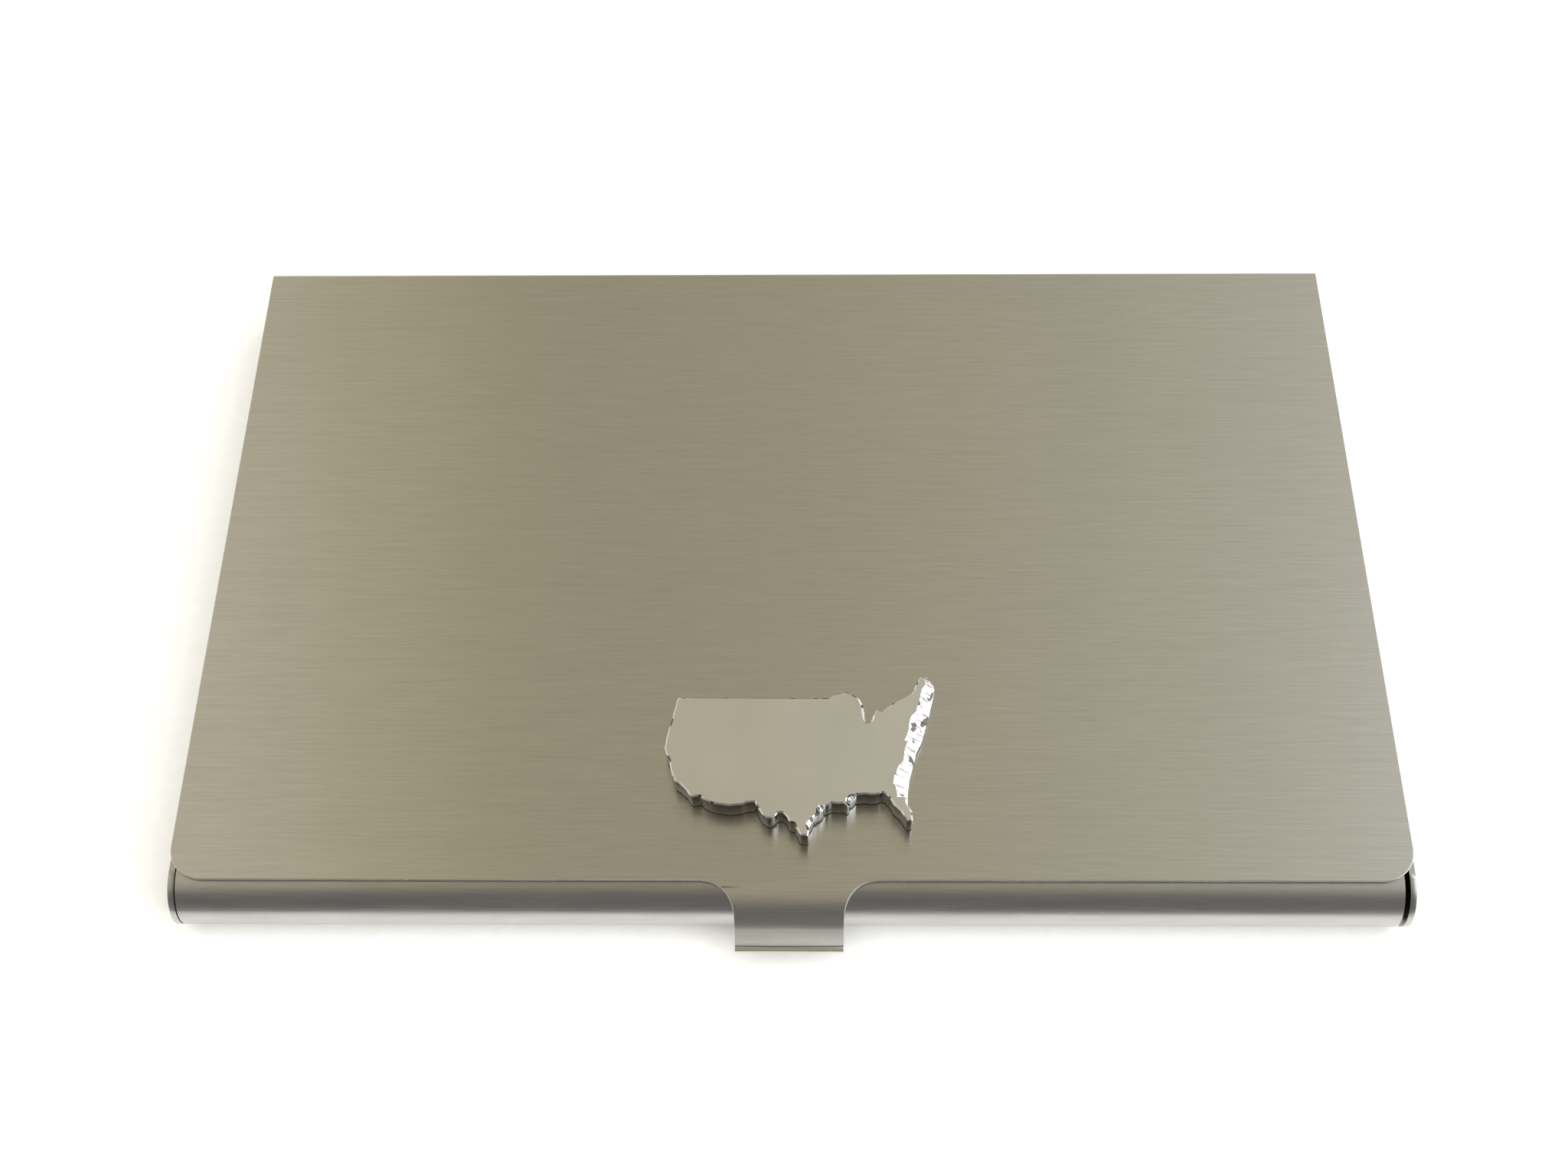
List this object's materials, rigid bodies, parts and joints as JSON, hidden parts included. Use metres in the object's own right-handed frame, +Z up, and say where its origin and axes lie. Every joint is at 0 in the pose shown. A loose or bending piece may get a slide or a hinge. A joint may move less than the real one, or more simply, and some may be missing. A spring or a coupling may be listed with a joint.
{
  "type": "business card case",
  "caption": "Flat brushed-steel business card case: folded tray with rolled front bead, hinged lid with a curled finger tongue, and a polished cast map emblem.",
  "frame": {"origin": "middle of the footprint, on the surface the closed case lies on", "axes": "+X to the right along the long side, -Y to the front where the finger tongue is, +Z up out of the lid"},
  "size_m": [0.093, 0.0612, 0.0085],
  "materials": {
    "tray_steel": "satin stainless sheet, fine grain along the long side",
    "lid_steel": "satin stainless sheet, fine grain along the long side",
    "pin_steel": "drawn stainless wire",
    "spring_steel": "cold-rolled spring steel strip",
    "emblem_metal": "tumbled and polished casting",
    "bond_layer": "cured two-part adhesive film"
  },
  "bodies": {
    "tray": {"base_tray": "tray_steel", "hinge_pin": "pin_steel", "card_spring": "spring_steel"},
    "lid": {"lid": "lid_steel", "map_ornament": "emblem_metal", "ornament_adhesive": "bond_layer"}
  },
  "joints": [
    {"name": "lid_hinge", "type": "hinge", "parent": "tray", "child": "lid", "pos_m": [0, 0.02964, 0.0024], "axis": [-1, 0, 0], "range_deg": [0, 105]}
  ]
}
